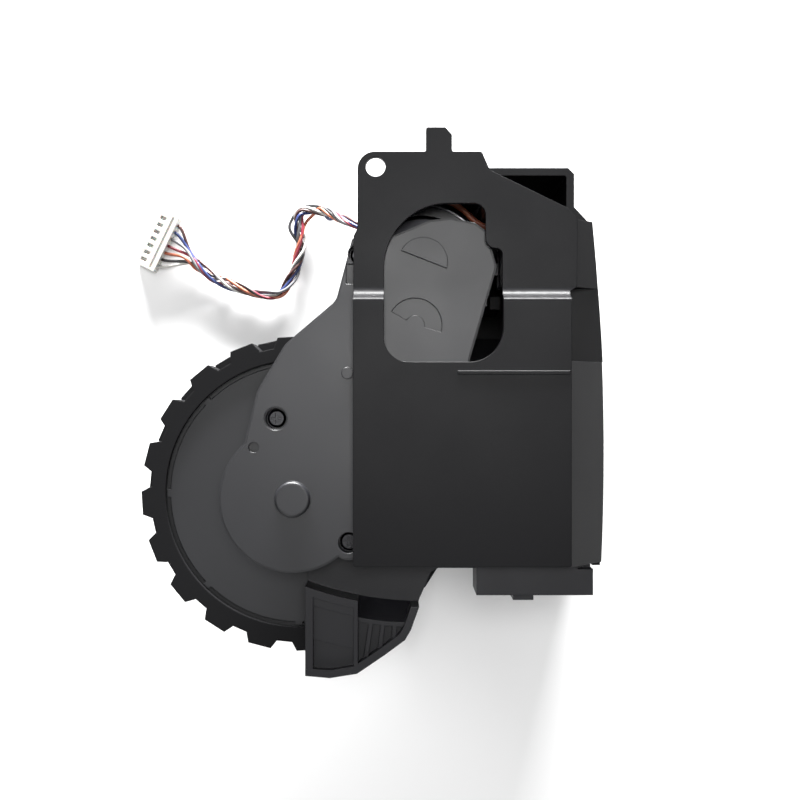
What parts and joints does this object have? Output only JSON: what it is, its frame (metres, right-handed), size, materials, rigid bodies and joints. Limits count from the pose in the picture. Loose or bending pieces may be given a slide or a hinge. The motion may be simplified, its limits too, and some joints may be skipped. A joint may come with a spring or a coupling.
{
  "type": "robot vacuum wheel module",
  "caption": "Drive wheel module of a robot vacuum: lugged wheel on a sprung swinging gearbox arm with motor, in a two-level housing with a foot bracket and a short plug-ended wire harness.",
  "frame": {"origin": "the arm's swing axis where it meets the housing's flat back face", "axes": "+Z along the swing axis, out of the back face towards the front cover; +Y towards the cover's chassis screw hole; the wheel lies towards -X and -Y"},
  "size_m": [0.1177, 0.1262, 0.0578],
  "materials": {
    "housing_black": "moulded ABS, fine texture, slightly worn edges",
    "bracket_black": "moulded ABS, satin, faint flow marks",
    "arm_grey": "glass-filled nylon, satin grey, fine texture",
    "hub_grey": "moulded ABS, satin dark grey",
    "tyre_rubber": "moulded rubber, matte, light dust",
    "acetal_white": "moulded acetal gears, satin",
    "bush_brown": "sintered bronze, oiled",
    "steel": "turned steel, bright",
    "screw_black": "black-zinc plated steel",
    "spring_steel": "drawn spring wire",
    "motor_steel": "nickel-plated drawn can",
    "magnet_black": "bonded ferrite",
    "board_green": "glass-epoxy board with solder mask",
    "sensor_black": "moulded sensor body",
    "wire_mixed": "thin PVC-covered wires in seven colours",
    "plug_white": "moulded nylon, slightly translucent",
    "contact_tin": "tin-plated brass strip"
  },
  "bodies": {
    "housing": {"base_shell": "housing_black", "front_cover": "housing_black", "end_bracket": "bracket_black", "housing_screws": "screw_black", "bracket_screws": "screw_black", "drop_sensor": "sensor_black", "sensor_lead": "wire_mixed", "torsion_spring": "spring_steel", "harness": "wire_mixed", "harness_plug": "plug_white", "plug_contacts": "contact_tin"},
    "arm": {"gearbox_base": "arm_grey", "gearbox_cover": "arm_grey", "gearbox_screws": "screw_black", "motor_can": "motor_steel", "motor_end_cap": "sensor_black", "motor_screws": "steel", "encoder_board": "board_green", "keeper_disc": "housing_black", "keeper_screws": "steel", "axle_bushes": "bush_brown", "gear_pins": "steel", "idler_pin": "steel"},
    "wheel": {"tyre": "tyre_rubber", "wheel_hub": "hub_grey", "wheel_axle": "steel", "output_gear": "acetal_white", "hub_screw": "steel", "hub_cap": "hub_grey"},
    "first_gear": {"gear_1": "acetal_white"},
    "second_gear": {"gear_2": "acetal_white"},
    "idler": {"idler_gear": "acetal_white"},
    "rotor": {"motor_shaft": "steel", "motor_pinion": "bush_brown", "encoder_magnet": "magnet_black"}
  },
  "joints": [
    {"name": "arm_swing", "type": "hinge", "parent": "housing", "child": "arm", "pos_m": [0, 0, 0.02], "axis": [0, 0, 1], "range_deg": [0, 22], "stiffness_Nm_per_rad": 0.2, "springref_deg": -68.75, "deforming": ["torsion_spring"]},
    {"name": "wheel_spin", "type": "hinge", "parent": "arm", "child": "wheel", "pos_m": [-0.0298, -0.0542, 0.045], "axis": [0, 0, 1], "continuous": true},
    {"name": "idler_spin", "type": "hinge", "parent": "arm", "child": "idler", "pos_m": [-0.0177, -0.03851, 0.045], "axis": [0, 0, 1], "continuous": true},
    {"name": "second_gear_spin", "type": "hinge", "parent": "arm", "child": "second_gear", "pos_m": [-0.00809, -0.03238, 0.045], "axis": [0, 0, 1], "continuous": true},
    {"name": "first_gear_spin", "type": "hinge", "parent": "arm", "child": "first_gear", "pos_m": [-0.0055, -0.01396, 0.045], "axis": [0, 0, 1], "continuous": true},
    {"name": "motor_spin", "type": "hinge", "parent": "arm", "child": "rotor", "pos_m": [0, 0, 0.045], "axis": [0, 0, 1], "continuous": true}
  ],
  "couplings": [
    {"joint": "idler_spin", "follows": "wheel_spin", "ratio": -1.75},
    {"joint": "second_gear_spin", "follows": "wheel_spin", "ratio": 3},
    {"joint": "first_gear_spin", "follows": "wheel_spin", "ratio": -10.286},
    {"joint": "motor_spin", "follows": "wheel_spin", "ratio": 41.143}
  ]
}
